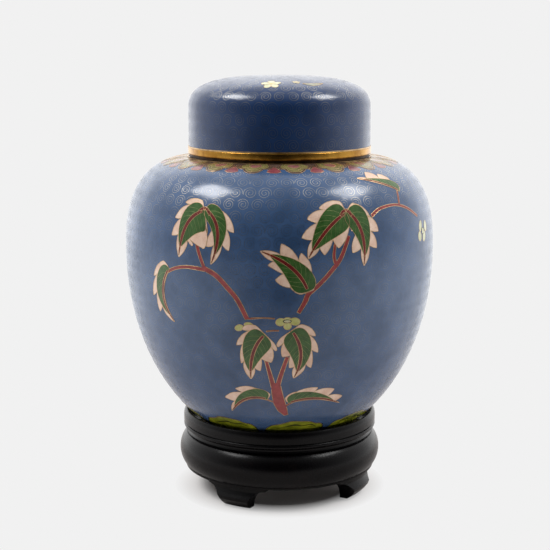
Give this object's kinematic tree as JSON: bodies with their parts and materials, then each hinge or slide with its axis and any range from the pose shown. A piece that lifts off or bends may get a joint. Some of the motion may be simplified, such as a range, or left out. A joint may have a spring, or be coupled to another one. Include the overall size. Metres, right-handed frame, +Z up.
{
  "type": "lidded cloisonne ginger jar on a wooden stand",
  "caption": "Round-bellied enamelled jar with a deep cap lid, standing in a turned wooden stand on bracket feet; lid and jar lift off.",
  "frame": {"origin": "centre of the stand's footprint on the table, on the jar's axis", "axes": "+Z up along the jar's axis, -Y is the decorated front, +X to the right seen from the front"},
  "size_m": [0.13, 0.1302, 0.1764],
  "materials": {
    "lacquered_wood": "black lacquer over dark wood, semi-gloss, thinner and browner on edges",
    "copper": "spun copper sheet, hidden under the enamel",
    "gilt_brass": "gilt, polished, slightly tarnished",
    "lining_enamel": "plain turquoise counter-enamel, glossy with fine pits",
    "ground_enamel": "polished slate-blue enamel crossed by fine cloud wires",
    "band_enamel": "polished brown-mauve enamel",
    "lappet_enamel": "polished olive-yellow enamel between wires",
    "spacer_enamel": "polished brick-red enamel",
    "mound_enamel": "polished yellow-green enamel between wires",
    "branch_enamel": "polished dark red enamel",
    "leaf_green": "polished leaf-green enamel with gilt veins",
    "leaf_pink": "polished shaded pink enamel",
    "blossom_enamel": "polished cream-yellow enamel",
    "pale_leaf": "polished grey-green enamel"
  },
  "bodies": {
    "stand": {"stand_top_rail": "lacquered_wood", "stand_waist_ring": "lacquered_wood", "stand_belly_ring": "lacquered_wood", "stand_seat_board": "lacquered_wood", "foot_right": "lacquered_wood", "foot_back": "lacquered_wood", "foot_left": "lacquered_wood", "foot_front": "lacquered_wood"},
    "jar": {"jar_body": "copper", "jar_lining": "lining_enamel", "jar_foot_ring": "gilt_brass", "jar_base_enamel": "lining_enamel", "jar_neck_collar": "gilt_brass", "jar_ground_enamel": "ground_enamel", "shoulder_band_enamel": "band_enamel", "cloud_lappet_enamel": "lappet_enamel", "lappet_spacer_enamel": "spacer_enamel", "base_mound_enamel": "mound_enamel", "branch_enamel": "branch_enamel", "leaf_green_enamel": "leaf_green", "leaf_pink_enamel": "leaf_pink", "blossom_enamel": "blossom_enamel", "neck_border_wire": "gilt_brass"},
    "lid": {"lid_body": "copper", "lid_lining": "lining_enamel", "lid_ground_enamel": "ground_enamel", "lid_rim_ring": "gilt_brass", "lid_blossom_enamel": "blossom_enamel", "lid_leaf_enamel": "pale_leaf", "lid_border_wire": "gilt_brass"}
  },
  "joints": [
    {"name": "jar_lift", "type": "slide", "parent": "stand", "child": "jar", "axis": [0, 0, 1], "range_m": [0, 0.04]},
    {"name": "lid_lift", "type": "slide", "parent": "jar", "child": "lid", "axis": [0, 0, 1], "range_m": [0, 0.05]}
  ]
}
